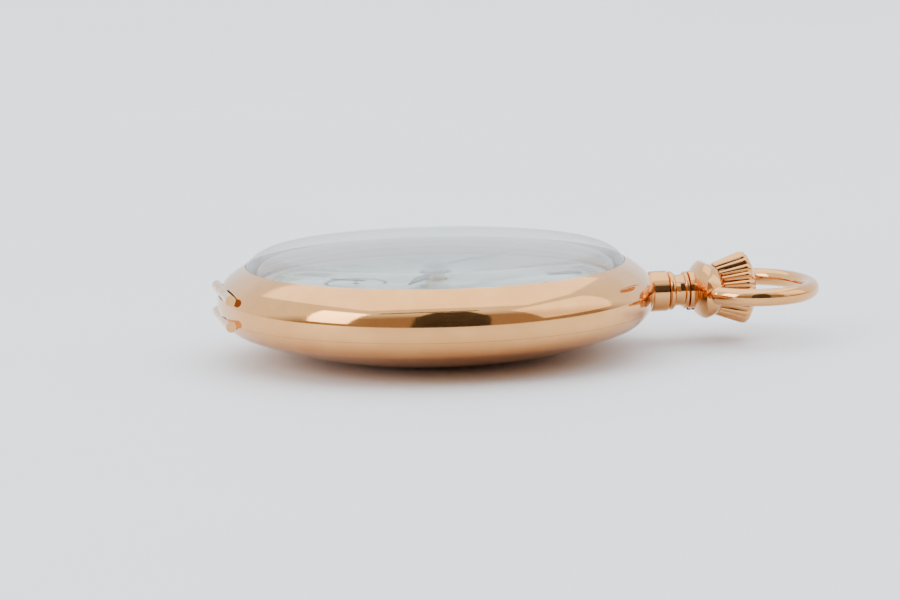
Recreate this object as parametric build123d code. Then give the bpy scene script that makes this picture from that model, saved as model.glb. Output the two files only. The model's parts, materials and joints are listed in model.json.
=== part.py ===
from build123d import *
import os
from math import acos, atan2, cos, degrees, hypot, radians, sin, sqrt

# Open-face pocket watch, in millimetres.
# +Z is the dial side, +Y the pendant (12 o'clock), +X 3 o'clock.
# The origin is the centre of the flat that the back cover rests on.

# ---- driving dimensions: case ----
CASE_R = 26.0
FLAT_R = 7.0
BACK_DOME = 44.2
BACK_TURN = Vector(22.0, 6.9)  # centre of the lower edge's curve (r, z)
BACK_TURN_R = 4.0
TOP_TURN = Vector(22.4, 6.9)  # centre of the upper edge's curve (r, z)
TOP_TURN_R = 3.6
TOP_TURN_END = 50.0
BACK_SEAM = 5.3
BEZEL_SEAM = 8.4
GLASS_RIM = Vector(22.6, 11.0)
GLASS_TOP = 13.65
GLASS_SHOULDER = Vector(19.66, 12.69)
GLASS_TURN = Vector(19.27, 8.71)  # centre of the glass's shoulder curve (r, z)
GLASS_THICK = 1.25
GLASS_SEAT = 9.9
BACK_WALL = 0.45
CUVETTE_GAP = 0.25
CUVETTE_WALL = 0.3
MOVEMENT_GAP = 0.15
MOVEMENT_R = 21.3
LEDGE_R = 20.4
LEDGE_Z = 6.0
COVER_RIM = 4.2

# ---- hinges ----
HINGE_Y = -25.4
KNUCKLE_R = 0.62
GROOVE_R = 0.75
WEB = 0.55  # how far a knuckle's web reaches in from the axis
PIN_R = 0.3
HINGE_HALF = 6.6
RUN = 0.03  # radial clearance of a turning fit

# ---- pendant, crown and bow ----
STEM_Z = 6.2
STEM_R = 0.5
TUBE_R = 0.85
HEAD_Y = 32.0
HEAD_R = 3.35
HEAD_HALF = 1.5
BOW_Y = 33.3
BOW_WIRE = 1.05
BOW_CENTRE_Y = 38.6
BOW_HALF_X = 9.0
BOW_HALF_Y = 7.15
BOW_END_X = 6.04
BOW_PIVOT_R = 0.47
CROWN_Y = 34.05
CROWN_TOP = 37.4
CROWN_END = 39.05
CROWN_FLUTES = 24

# ---- movement levels ----
PLATE = (6.0, 7.2)
DIAL = (8.25, 8.95)
BRIDGE = (2.7, 3.9)
UPPER_WHEELS = (2.15, 2.65)
BARREL = (4.6, 5.7)
DRUM_R = 6.6
BRIDGE_R = 18.2
PIVOT_R = 0.15
JEWEL_R = 0.75

# ---- train: teeth and modules ----
BARREL_TEETH, BARREL_MODULE = 78, 0.18
CENTRE_LEAVES = 12
CENTRE_TEETH, CENTRE_MODULE = 80, 0.16
THIRD_LEAVES = 10
THIRD_TEETH, THIRD_MODULE = 75, 0.145
FOURTH_LEAVES = 10
FOURTH_TEETH, FOURTH_MODULE = 70, 0.14
ESCAPE_LEAVES = 7
ESCAPE_TEETH, ESCAPE_R = 15, 3.2
RATCHET_TEETH, CROWN_TEETH, WINDING_MODULE = 50, 30, 0.2
WINDING_LEAVES = 20
CROWN_POST_R = 0.65
MOTION_MODULE = 0.14
CANNON_LEAVES, MINUTE_TEETH = 12, 36
MINUTE_LEAVES, HOUR_TEETH = 10, 40

# ---- time shown ----
HOUR_ANGLE = 116.7  # clockwise from 12
MINUTE_ANGLE = 320.0
SECONDS_ANGLE = 215.0


def polar(angle, r, about=(0, 0)):
    """The point at an angle in degrees and a radius about a centre"""
    return (about[0] + r * cos(radians(angle)), about[1] + r * sin(radians(angle)))


def heading(a, b):
    """Direction from a to b in degrees"""
    return degrees(atan2(b[1] - a[1], b[0] - a[0]))


BARREL_AT = polar(50.2, (BARREL_TEETH + CENTRE_LEAVES) * BARREL_MODULE / 2)
THIRD_AT = polar(230.07, (CENTRE_TEETH + THIRD_LEAVES) * CENTRE_MODULE / 2)
FOURTH_AT = (0.0, -9.6)
ESCAPE_AT = polar(-24.66, (FOURTH_TEETH + ESCAPE_LEAVES) * FOURTH_MODULE / 2, FOURTH_AT)
PALLET_AT = (6.995, -8.92)
BALANCE_AT = (9.8, -5.0)
WINDING_REACH = (RATCHET_TEETH + CROWN_TEETH) * WINDING_MODULE / 2
CROWN_WHEEL_AT = (0.0, BARREL_AT[1] + sqrt(WINDING_REACH**2 - BARREL_AT[0] ** 2))
MINUTE_AT = polar(150, (CANNON_LEAVES + MINUTE_TEETH) * MOTION_MODULE / 2)
HOUR_MODULE = 2 * hypot(*MINUTE_AT) / (MINUTE_LEAVES + HOUR_TEETH)
CLICK_AT = polar(200, 7.4, BARREL_AT)
COCK_FOOT = (16.3, 1.4)
CASE_SCREWS = [polar(a, 19.6) for a in (150, 330)]
BARREL_POSTS = [(-12.0, 8.0), (-7.5, 15.0), (15.9, 6.0)]
TRAIN_POSTS = [(-14.0, -4.5), (-9.0, -13.8), (2.5, -16.0)]


# ---- small shape helpers ----
def disc(r, z0, z1, at=(0, 0)):
    """An upright cylinder between two heights"""
    return Pos(at[0], at[1], z0) * extrude(Circle(r), z1 - z0)


def ring(r_out, r_in, z0, z1, at=(0, 0)):
    """An upright tube between two heights"""
    return Pos(at[0], at[1], z0) * extrude(Circle(r_out) - Circle(r_in), z1 - z0)


def block(x0, x1, y0, y1, z0, z1):
    """A box between two corners"""
    centre = Pos((x0 + x1) / 2, (y0 + y1) / 2, (z0 + z1) / 2)
    return centre * Box(x1 - x0, y1 - y0, z1 - z0)


def rod_x(r, x0, x1, y, z):
    """A cylinder along X"""
    return Pos((x0 + x1) / 2, y, z) * Rot(0, 90, 0) * Cylinder(r, x1 - x0)


def rod_y(r, y0, y1, x=0, z=STEM_Z):
    """A cylinder along Y"""
    return Pos(x, (y0 + y1) / 2, z) * Rot(90, 0, 0) * Cylinder(r, y1 - y0)


def both_sides(shape):
    """A shape and its mirror image in the plane x = 0"""
    return shape + mirror(shape, Plane.YZ)


def arc(centre, start, end):
    """The shorter arc about a centre"""
    centre, start, end = Vector(*centre), Vector(*start), Vector(*end)
    half = (start - centre).normalized() + (end - centre).normalized()
    middle = centre + half.normalized() * (start - centre).length
    return ThreePointArc(start, middle, end)


def outline(*steps):
    """A closed face from points; ("arc", centre, end) and ("bend", control, end) are curves"""
    here, edges = Vector(*steps[0]), []
    for step in steps[1:] + (steps[0],):
        kind = step[0] if len(step) == 3 else "line"
        end = Vector(*step[-2:]) if kind == "line" else Vector(*step[2])
        if (end - here).length < 1e-9:
            continue
        if kind == "arc":
            edges.append(arc(step[1], here, end))
        elif kind == "bend":
            edges.append(Bezier(here, Vector(*step[1]), end))
        else:
            edges.append(Line(here, end))
        here = end
    return make_face(edges)


def turned(*steps):
    """An (r, z) outline turned about Z"""
    return revolve(Plane.XZ * outline(*steps), Axis.Z)


def turned_y(*steps):
    """A (y, r) outline turned about the stem's axis"""
    plane = Plane(origin=(0, 0, STEM_Z), x_dir=(0, 1, 0), z_dir=(1, 0, 0))
    return revolve(plane * outline(*steps), Axis((0, 0, STEM_Z), (0, 1, 0)))


# ---- profile points of the case ----
def on_circle(centre, r, z):
    """The outer point at height z of a circle in the (r, z) plane"""
    return (centre.X + sqrt(r**2 - (z - centre.Y) ** 2), z)


def lower(offset):
    """Flat edge, dome centre, turn start and turn radius of the back at an inward offset"""
    toward = (BACK_TURN - Vector(FLAT_R, BACK_DOME)).normalized()
    start = BACK_TURN + toward * (BACK_TURN_R - offset)
    return (FLAT_R, offset), (FLAT_R, BACK_DOME), (start.X, start.Y), BACK_TURN_R - offset


def dome_r(offset, z):
    """Radius at height z of the back's dome at an inward offset"""
    return FLAT_R + sqrt((BACK_DOME - offset) ** 2 - (BACK_DOME - z) ** 2)


def top_turn_end():
    """Where the upper edge's curve ends"""
    return polar(TOP_TURN_END, TOP_TURN_R, (TOP_TURN.X, TOP_TURN.Y))


# ---- gears ----
def gear_face(teeth, module, tooth_at=0.0, thick=0.46):
    """Teeth with sloping flanks and rounded-off tips; one tooth points along tooth_at"""
    pitch_r, points = teeth * module / 2, []
    root, shoulder, tip = pitch_r - 1.15 * module, pitch_r + 0.45 * module, pitch_r + 0.9 * module
    step = 360 / teeth
    stations = [(-0.60, root), (-0.40, shoulder), (-0.18, tip), (0.18, tip), (0.40, shoulder), (0.60, root)]
    for k in range(teeth):
        for share, r in stations:
            points.append(polar(tooth_at + step * (k + share * thick), r))
    return make_face(Polyline(*points, close=True))


def crossed(face, rim_r, hub_r, bore_r, arms=5, arm_width=0.5, turn=0.0):
    """A wheel face with its inside crossed out into arms"""
    spokes = Circle(hub_r)
    for k in range(arms):
        arm = Pos(rim_r / 2 + 0.1, 0) * Rectangle(rim_r + 0.2, arm_width)
        spokes += Rot(0, 0, turn + 360 * k / arms) * arm
    return (face - Circle(rim_r)) + spokes - Circle(bore_r)


def raised(face, z0, z1, at=(0, 0)):
    """A flat face given thickness between two heights"""
    return Pos(at[0], at[1], z0) * extrude(face, z1 - z0)


def pivot(at, z0, z1):
    """A pivot of a train arbor"""
    return disc(PIVOT_R, z0, z1, at)


def spiral_band(r0, r1, turns, width, z0, z1, at):
    """A flat spiral strip standing on edge"""
    count = int(turns * 12)
    inner, outer = [], []
    for k in range(count + 1):
        angle, r = 360 * turns * k / count, r0 + (r1 - r0) * k / count
        inner.append(polar(angle, r - width / 2))
        outer.append(polar(angle, r + width / 2))
    edges = [Spline(*inner), Line(inner[-1], outer[-1]), Spline(*outer), Line(outer[0], inner[0])]
    return raised(make_face(edges), z0, z1, at)


def slotted_screw(at, head_r, shaft_r, head, shaft_end):
    """A screw whose slotted head faces the back of the watch"""
    body = disc(head_r, head[0], head[1], at) + disc(shaft_r, head[1], shaft_end, at)
    slot = Pos(at[0], at[1], head[0]) * Rot(0, 0, 30) * Box(2.2 * head_r, 0.22, 0.3)
    return body - slot


# ---- case ----
def case_envelope():
    """The mid-case's outer surface as a solid, taken in to its axis"""
    return turned(
        (0, BACK_SEAM),
        on_circle(BACK_TURN, BACK_TURN_R, BACK_SEAM),
        ("arc", BACK_TURN, (CASE_R, BACK_TURN.Y)),
        ("arc", TOP_TURN, on_circle(TOP_TURN, TOP_TURN_R, BEZEL_SEAM)),
        (0, BEZEL_SEAM),
    )


def knuckle(x0, x1, z, bore, side):
    """A hinge knuckle with its web; side is +1 where its own body is above the axis"""
    barrel = rod_x(KNUCKLE_R, x0, x1, HINGE_Y, z)
    low, high = sorted((z, z + side * KNUCKLE_R))
    web = block(x0, x1, HINGE_Y, HINGE_Y + WEB, low, high)
    return barrel + web - rod_x(bore, x0 - 1, x1 + 1, HINGE_Y, z)


def groove(x0, x1, z):
    """Room for a knuckle of another body"""
    return rod_x(GROOVE_R, x0, x1, HINGE_Y, z)


def make_mid_case():
    """The middle ring: it carries the movement, both hinges and the pendant"""
    body = turned(
        on_circle(BACK_TURN, BACK_TURN_R, BACK_SEAM),
        ("arc", BACK_TURN, (CASE_R, BACK_TURN.Y)),
        ("arc", TOP_TURN, on_circle(TOP_TURN, TOP_TURN_R, BEZEL_SEAM)),
        (22.2, BEZEL_SEAM),
        (22.2, 8.9),
        (21.45, 8.9),
        (21.45, LEDGE_Z),
        (LEDGE_R, LEDGE_Z),
        (LEDGE_R, 5.2),
        (22.7, 5.2),
        (22.7, COVER_RIM),
        (24.0, COVER_RIM),
        (24.75, BACK_SEAM),
    )
    body -= groove(-2.05, 2.05, BEZEL_SEAM) + groove(-3.55, 3.55, BACK_SEAM)
    body -= block(-1.3, 1.3, -25.6, -22.4, COVER_RIM - 0.1, BACK_SEAM + 0.1)
    body += both_sides(knuckle(2.1, HINGE_HALF, BEZEL_SEAM, PIN_R, -1))
    body += both_sides(knuckle(3.6, HINGE_HALF, BACK_SEAM, PIN_R, 1))
    body -= both_sides(rod_x(PIN_R, 2.0, 7.0, HINGE_Y, BEZEL_SEAM))
    body -= both_sides(rod_x(PIN_R, 3.0, 7.0, HINGE_Y, BACK_SEAM))
    return body - rod_y(TUBE_R, 19, 27)


def make_bezel():
    """The glass's ring, hinged opposite the pendant, with a thumb notch beside it"""
    end = top_turn_end()
    chord = GLASS_RIM - Vector(*end)
    bow_centre = Vector(*end) + chord / 2 + Vector(chord.Y, -chord.X).normalized() * -9.3
    body = turned(
        on_circle(TOP_TURN, TOP_TURN_R, BEZEL_SEAM),
        ("arc", TOP_TURN, end),
        ("arc", (bow_centre.X, bow_centre.Y), (GLASS_RIM.X, GLASS_RIM.Y)),
        (GLASS_RIM.X, GLASS_SEAT),
        (21.6, GLASS_SEAT),
        (21.6, 9.1),
        (22.25, 9.1),
        (22.25, BEZEL_SEAM),
    )
    body -= both_sides(groove(2.05, HINGE_HALF + 0.1, BEZEL_SEAM))
    body += knuckle(-2.0, 2.0, BEZEL_SEAM, PIN_R, 1)
    body -= rod_x(PIN_R + RUN, -3, 3, HINGE_Y, BEZEL_SEAM)
    notch = Pos(0, 0, BEZEL_SEAM + 0.62) * Rot(0, 0, 53) * Pos(31.9, 0, 0) * scale(Sphere(1), (7, 11, 0.75))
    return body - notch


def make_crystal():
    """The domed glass"""
    rim_r, foot = GLASS_RIM.X - 0.05, GLASS_SEAT + 0.05
    shoulder = (GLASS_SHOULDER.X, GLASS_SHOULDER.Y)
    turn = (GLASS_TURN.X, GLASS_TURN.Y)
    inner_turn_r = (GLASS_SHOULDER - GLASS_TURN).length - GLASS_THICK
    inner = GLASS_TURN + (GLASS_SHOULDER - GLASS_TURN).normalized() * inner_turn_r
    return turned(
        (0, GLASS_TOP),
        ("bend", (shoulder[0] / 2, GLASS_TOP), shoulder),
        ("arc", turn, (rim_r, GLASS_RIM.Y)),
        (rim_r, foot),
        on_circle(GLASS_TURN, inner_turn_r, foot),
        ("arc", turn, (inner.X, inner.Y)),
        ("bend", (inner.X / 2, GLASS_TOP - GLASS_THICK), (0, GLASS_TOP - GLASS_THICK)),
    )


def make_back_cover():
    """The hinged outer back, a thin dish with a small flat to stand on"""
    flat, dome, turn, _ = lower(0)
    in_flat, _, in_turn, in_r = lower(BACK_WALL)
    body = turned(
        (0, 0),
        flat,
        ("arc", dome, turn),
        ("arc", BACK_TURN, on_circle(BACK_TURN, BACK_TURN_R, BACK_SEAM - 0.02)),
        on_circle(BACK_TURN, in_r, BACK_SEAM - 0.02),
        ("arc", BACK_TURN, in_turn),
        ("arc", dome, in_flat),
        (0, BACK_WALL),
    )
    body -= groove(-1.25, 1.25, BACK_SEAM) + both_sides(groove(3.55, HINGE_HALF + 0.1, BACK_SEAM))
    body -= block(-1.25, 1.25, -26.5, -24.2, 4.2, BACK_SEAM + 1)
    body += both_sides(knuckle(1.3, 3.5, BACK_SEAM, PIN_R, -1))
    return body - rod_x(PIN_R + RUN, -5, 5, HINGE_Y, BACK_SEAM)


def make_cuvette():
    """The inner dust cover between the back and the movement"""
    offset = BACK_WALL + CUVETTE_GAP
    flat, dome, turn, turn_r = lower(offset)
    in_flat, _, in_turn, in_r = lower(offset + CUVETTE_WALL)
    edge = COVER_RIM - 0.05
    body = turned(
        (0, offset),
        flat,
        ("arc", dome, turn),
        ("arc", BACK_TURN, on_circle(BACK_TURN, turn_r, edge)),
        on_circle(BACK_TURN, in_r, edge),
        ("arc", BACK_TURN, in_turn),
        ("arc", dome, in_flat),
        (0, offset + CUVETTE_WALL),
    )
    arm = outline(
        (-23.3, edge),
        (-23.75, 4.0),
        (-24.3, 4.35),
        (HINGE_Y - 0.1, BACK_SEAM - 0.6),
        (HINGE_Y + 0.2, BACK_SEAM - 0.3),
        (-24.3, 4.75),
    )
    body += Pos(-1.1, 0, 0) * extrude(Plane.YZ * arm, 2.2)
    body += rod_x(KNUCKLE_R, -1.2, 1.2, HINGE_Y, BACK_SEAM)
    return body - rod_x(PIN_R + RUN, -2, 2, HINGE_Y, BACK_SEAM)


def make_hinge_pin(z):
    """A hinge pin with a domed head at each end"""
    pin = rod_x(PIN_R, -HINGE_HALF, HINGE_HALF, HINGE_Y, z)
    head = rod_x(0.45, HINGE_HALF, HINGE_HALF + 0.12, HINGE_Y, z)
    dome = Pos(HINGE_HALF - 0.12, HINGE_Y, z) * Sphere(0.51)
    dome &= block(HINGE_HALF + 0.12, HINGE_HALF + 1, HINGE_Y - 1, HINGE_Y + 1, z - 1, z + 1)
    return pin + both_sides(head + dome)


# ---- pendant, bow and crown ----
def make_pendant():
    """The beaded neck and the head whose two cheeks hold the bow"""
    neck = turned_y(
        (26.1, 0),
        (26.1, 2.35),
        (26.3, 2.45),
        (28.1, 2.45),
        (28.25, 1.95),
        ("arc", (28.65, 1.95), (28.65, 2.35)),
        ("arc", (28.65, 1.95), (29.05, 1.95)),
        (29.6, 1.85),
        (30.15, 1.95),
        ("arc", (30.45, 1.95), (30.45, 2.25)),
        ("arc", (30.45, 1.95), (30.75, 1.95)),
        (30.8, 2.3),
        (31.6, 2.3),
        (31.6, 0),
    )
    root = rod_y(2.3, 24.5, 26.2) & block(-3, 3, 24, 27, BACK_SEAM + 0.1, BEZEL_SEAM - 0.1)
    head = rod_x(HEAD_R, -HEAD_HALF, HEAD_HALF, HEAD_Y, STEM_Z)
    head += both_sides(Pos(HEAD_HALF, HEAD_Y, STEM_Z) * Sphere(HEAD_R))
    rounding = Pos(0, 33.2, STEM_Z) * scale(Sphere(1), (5.6, 2.25, 3.6))
    head -= block(-9, 9, 20, 33.2, -5, 15) - rounding
    cavity = turned_y((33.9, 0), (33.9, 3.4), (36, 4.25), (36, 0))
    body = neck + (root - case_envelope()) + (head - cavity)
    body -= rod_y(TUBE_R, 20, 36)
    body -= both_sides(rod_x(BOW_PIVOT_R + RUN, 2.5, 6.0, BOW_Y, STEM_Z))
    return body - disc(0.45, STEM_Z - 3, STEM_Z - 1.3, (0, 31.15))


def make_pendant_tube():
    """The sleeve that guides the stem through the case"""
    return rod_y(TUBE_R, 22.0, 33.6) - rod_y(STEM_R + 0.05, 20, 36)


def make_pendant_set_screw():
    """The small screw that locks the sleeve in the neck"""
    body = disc(0.45, STEM_Z - 2.42, STEM_Z - 1.3, (0, 31.15)) - rod_y(TUBE_R, 20, 36)
    return body - block(-1, 1, 31.06, 31.24, STEM_Z - 2.6, STEM_Z - 2.25)


def make_bow():
    """The oval loop that a chain clips to; its ends turn in to pivot in the pendant's cheeks"""
    start = -degrees(acos(BOW_END_X / BOW_HALF_X))
    path = EllipticalCenterArc(
        (0, BOW_CENTRE_Y), BOW_HALF_X, BOW_HALF_Y, start_angle=start, arc_size=180 - 2 * start
    )
    section = Plane(origin=path @ 0, z_dir=path % 0) * Circle(BOW_WIRE)
    wire = Pos(0, 0, STEM_Z) * sweep(section, path=path)
    end = Pos(BOW_END_X, BOW_Y, STEM_Z) * Rot(0, 90, 0) * Sphere(BOW_WIRE + 0.05)
    end += rod_x(BOW_PIVOT_R, 2.6, BOW_END_X, BOW_Y, STEM_Z)
    return wire + both_sides(end)


def make_crown():
    """The fluted winding crown"""
    base_r, top_r = 3.15, 4.35
    body = turned_y(
        (CROWN_Y, 0),
        (CROWN_Y, base_r),
        (CROWN_TOP, top_r),
        (CROWN_TOP + 0.45, top_r - 0.12),
        ("bend", (CROWN_END, 0.62 * top_r), (CROWN_END, 0)),
    )
    slope = degrees(atan2(top_r - base_r, CROWN_TOP - CROWN_Y))
    length = hypot(top_r - base_r, CROWN_TOP - CROWN_Y)
    middle_y, middle_r = (CROWN_Y + CROWN_TOP) / 2, (base_r + top_r) / 2 + 0.12
    flute = Rot(-90 + slope, 0, 0) * Cylinder(0.3, length + 1.4)
    cutters = [
        Pos(0, 0, STEM_Z) * Rot(0, 360 * k / CROWN_FLUTES, 0) * Pos(0, middle_y, middle_r) * flute
        for k in range(CROWN_FLUTES)
    ]
    return (body - cutters) - rod_y(STEM_R, CROWN_Y - 1, CROWN_Y + 3)


def make_winding_stem():
    """The stem: pilot, square and round shaft up into the crown"""
    square = block(-0.4, 0.4, 14.3, 17.0, STEM_Z - 0.4, STEM_Z + 0.4)
    return rod_y(0.38, 13.3, 14.3) + square + rod_y(STEM_R, 17.0, CROWN_Y + 3)


# ---- dial and hands ----
def make_dial():
    """The enamel dial on its copper feet"""
    edge_r = MOVEMENT_R - 0.1
    plate = turned((1.5, DIAL[0]), (edge_r, DIAL[0]), (edge_r, 8.75), (20.9, DIAL[1]), (1.5, DIAL[1]))
    plate -= disc(3.9, DIAL[1] - 0.12, DIAL[1] + 1, FOURTH_AT) + disc(0.45, 8, 10, FOURTH_AT)
    for angle in (138, 318):
        plate += disc(0.4, 6.6, DIAL[0] + 0.1, polar(angle, 18.4))
    return plate


def hand_face(length, tail, hub_r, width, bore_r):
    """A leaf-shaped hand along +Y with its hub"""
    half, wide_at, root = width / 2, length * 0.55, hub_r * 0.8
    corners = [(0, length), (half, wide_at), (0.22, root), (-0.22, root), (-half, wide_at)]
    leaf = make_face(Polyline(*corners, close=True))
    face = leaf + Circle(hub_r)
    if tail:
        face += Pos(0, -tail / 2) * Rectangle(0.35, tail)
    return face - Circle(bore_r)


def make_hand(face, angle, z0, z1, at=(0, 0)):
    """A hand laid at its clockwise angle"""
    return Pos(at[0], at[1], 0) * Rot(0, 0, -angle) * raised(face, z0, z1)


def make_hour_hand():
    """Hour hand, pressed on the hour wheel's pipe"""
    return make_hand(hand_face(11.0, 0, 1.9, 1.5, 1.15), HOUR_ANGLE, 9.75, 9.95)


def make_minute_hand():
    """Minute hand, pressed on the cannon pinion"""
    return make_hand(hand_face(16.6, 0, 1.5, 1.1, 0.75), MINUTE_ANGLE, 10.45, 10.65)


def make_seconds_hand():
    """Small seconds hand on the fourth wheel's long pivot"""
    return make_hand(hand_face(3.3, 1.2, 0.45, 0.3, 0.15), SECONDS_ANGLE, 9.15, 9.3, FOURTH_AT)


# ---- motion work under the dial ----
def make_cannon_pinion():
    """Cannon pinion, a friction fit on the centre arbor"""
    leaves = gear_face(CANNON_LEAVES, MOTION_MODULE, 150 + 180 / CANNON_LEAVES)
    body = raised(leaves, 7.35, 8.05) + disc(0.75, 8.05, 11.2)
    return body - disc(0.5, 7, 12)


def make_hour_wheel():
    """Hour wheel with the pipe that carries the hour hand"""
    face = gear_face(HOUR_TEETH, HOUR_MODULE, 150)
    wheel = raised(face, 7.75, 7.95) + disc(1.15, 7.95, 10.0)
    return wheel - disc(0.75 + 0.06, 8.04, 11) - disc(1.05, 7.7, 8.13)


def make_minute_wheel():
    """Minute wheel and its pinion, turning on a post of the plate"""
    wheel = raised(gear_face(MINUTE_TEETH, MOTION_MODULE, 330), 7.4, 7.6, MINUTE_AT)
    leaves = gear_face(MINUTE_LEAVES, HOUR_MODULE, 330 + 180 / MINUTE_LEAVES)
    return wheel + raised(leaves, 7.6, 8.05, MINUTE_AT) - disc(0.35 + RUN, 7, 9, MINUTE_AT)


# ---- plate and bridges ----
def movement_space():
    """Everything inside the cuvette, with a little air"""
    offset = BACK_WALL + CUVETTE_GAP + CUVETTE_WALL + MOVEMENT_GAP
    flat, dome, _, _ = lower(offset)
    return turned(
        (0, offset), flat, ("arc", dome, (dome_r(offset, 4.0), 4.0)), (dome_r(offset, 4.0), 7), (0, 7)
    )


def jewel_seats(z0, z1):
    """Holes for the train jewels"""
    seats = disc(JEWEL_R, z0, z1, THIRD_AT)
    return seats + disc(JEWEL_R, z0, z1, FOURTH_AT)


def make_main_plate():
    """The plate that everything in the movement is built on"""
    body = disc(MOVEMENT_R, *PLATE) + ring(MOVEMENT_R, 20.3, PLATE[1], DIAL[0])
    body += disc(0.35, PLATE[1], 8.15, MINUTE_AT)
    body += disc(CROWN_POST_R, 2.2, PLATE[0], CROWN_WHEEL_AT)
    for post in BARREL_POSTS + TRAIN_POSTS:
        body += disc(1.3, BRIDGE[1], PLATE[0], post)
    for x, y in CASE_SCREWS:
        body -= disc(0.5, 5, 6.6, (x, y))
    for post in BARREL_POSTS + TRAIN_POSTS + [COCK_FOOT]:
        body -= disc(0.4, BRIDGE[1] - 0.1, 6.6, post)
    for at in (THIRD_AT, FOURTH_AT, ESCAPE_AT, PALLET_AT, BALANCE_AT):
        body -= disc(JEWEL_R, 5.9, 7.3, at)
    for angle in (138, 318):
        body -= disc(0.45, 6.5, 8, polar(angle, 18.4))
    body -= disc(STEM_R + 0.05, 5.9, 7.3) + disc(0.7 + RUN, 5.9, 6.6, BARREL_AT)
    body -= disc(0.3, 2.1, 4.0, CROWN_WHEEL_AT)
    body -= block(-2.1, 2.1, 14.3, 17.4, 5.9, 8.2) + block(-0.75, 0.75, 17, 22, 5.9, 7.0)
    return body - rod_y(0.38 + RUN, 13.2, 15)


def screwed(body, posts):
    """A bridge with its screw holes and sunk seats"""
    for post in posts:
        body -= disc(0.45, BRIDGE[0] - 1, BRIDGE[1] + 1, post) + disc(0.95, BRIDGE[0] - 1, 3.15, post)
    return body


def make_barrel_bridge():
    """Bridge over the barrel, with the winding wheels on top"""
    body = disc(BRIDGE_R, *BRIDGE) & movement_space() & block(-20, 20, 1.6, 20, 0, 9)
    body -= disc(8.2, 0, 9, BALANCE_AT) + disc(2.1, 0, 9, COCK_FOOT)
    body -= disc(1.0 + RUN, 0, 9, BARREL_AT) + disc(3.25, 0, 9, CROWN_WHEEL_AT)
    body += disc(0.45, UPPER_WHEELS[0], BRIDGE[0], CLICK_AT)
    return screwed(body, BARREL_POSTS)


def make_train_bridge():
    """Bridge over the centre, third and fourth wheels"""
    body = disc(BRIDGE_R, *BRIDGE) & movement_space() & block(-20, 20, -20, 1.4, 0, 9)
    body -= disc(8.2, 0, 9, BALANCE_AT) + block(9, 20, -20, 2, 0, 9) + block(3.9, 20, -20, -8, 0, 9)
    body -= disc(JEWEL_R, 0, 9, (0, 0)) + jewel_seats(0, 9)
    return screwed(body, TRAIN_POSTS)


def make_escape_bridge():
    """Low bridge that holds the upper pivots of the escape wheel and the pallet fork"""
    arm = Pos(*ESCAPE_AT) * Circle(1.5) + Pos(*PALLET_AT) * Circle(1.5)
    foot = (10.6, -13.2)
    arm += Pos(*foot) * Circle(1.7)
    for a, b in ((ESCAPE_AT, foot), (PALLET_AT, foot)):
        middle = Pos((a[0] + b[0]) / 2, (a[1] + b[1]) / 2) * Rot(0, 0, heading(a, b))
        arm += middle * Rectangle(hypot(a[0] - b[0], a[1] - b[1]), 2.2)
    body = raised(arm, 4.05, 4.5) + disc(1.3, 4.5, PLATE[0], foot)
    return body - disc(0.5, 4, 4.6, ESCAPE_AT) - disc(0.5, 4, 4.6, PALLET_AT)


def make_balance_cock():
    """Cock that holds the balance's upper pivot"""
    reach = hypot(COCK_FOOT[0] - BALANCE_AT[0], COCK_FOOT[1] - BALANCE_AT[1])
    middle = ((COCK_FOOT[0] + BALANCE_AT[0]) / 2, (COCK_FOOT[1] + BALANCE_AT[1]) / 2)
    arm = Pos(*middle) * Rot(0, 0, heading(BALANCE_AT, COCK_FOOT)) * Rectangle(reach, 3.2)
    arm += Pos(*BALANCE_AT) * Circle(2.2) + Pos(*COCK_FOOT) * Circle(1.9)
    body = raised(arm, 2.3, 2.85) + disc(1.9, 2.8, PLATE[0], COCK_FOOT)
    body &= movement_space()
    return body - disc(JEWEL_R, 2, 3, BALANCE_AT) - disc(0.45, 2, 7, COCK_FOOT) - disc(0.95, 2, 3.1, COCK_FOOT)


def jewel(at, z0, z1, r=JEWEL_R):
    """A pierced jewel"""
    return ring(r, PIVOT_R + 0.04, z0, z1, at)


def make_train_jewels():
    """The pierced jewels, pressed into the plate, bridges and cock"""
    stones = [jewel(at, 6.0, 6.5) for at in (THIRD_AT, FOURTH_AT, ESCAPE_AT, PALLET_AT, BALANCE_AT)]
    stones += [jewel(at, 3.3, 3.9) for at in ((0, 0), THIRD_AT, FOURTH_AT)]
    stones += [jewel(at, 4.1, 4.5, 0.5) for at in (ESCAPE_AT, PALLET_AT)]
    stones.append(jewel(BALANCE_AT, 2.35, 2.85))
    return Compound(children=stones)


def make_bridge_screws():
    """The screws of the bridges and the cock"""
    posts = BARREL_POSTS + TRAIN_POSTS
    screws = [slotted_screw(post, 0.9, 0.4, (2.75, 3.15), 6.2) for post in posts]
    screws.append(slotted_screw(COCK_FOOT, 0.9, 0.4, (2.72, 3.1), 6.4))
    return Compound(children=screws)


def make_case_screws():
    """The two screws that clamp the movement against the case's ledge"""
    return Compound(children=[slotted_screw(at, 1.15, 0.5, (4.8, 5.2), 6.5) for at in CASE_SCREWS])


# ---- winding work ----
def make_barrel():
    """Going barrel: a toothed drum"""
    teeth = gear_face(BARREL_TEETH, BARREL_MODULE, heading(BARREL_AT, (0, 0)))
    body = raised(teeth, 5.3, BARREL[1], BARREL_AT) + disc(DRUM_R, 4.8, 5.4, BARREL_AT)
    return body - disc(DRUM_R - 0.3, 4.5, 5.4, BARREL_AT) - disc(0.7 + RUN, 4, 6, BARREL_AT)


def make_barrel_lid():
    """The lid snapped on the barrel"""
    return ring(DRUM_R, 1.0 + RUN, BARREL[0], 4.8, BARREL_AT)


def make_mainspring():
    """The mainspring, half wound"""
    return spiral_band(1.5, DRUM_R - 0.55, 8, 0.24, 4.86, 5.34, BARREL_AT)


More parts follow.
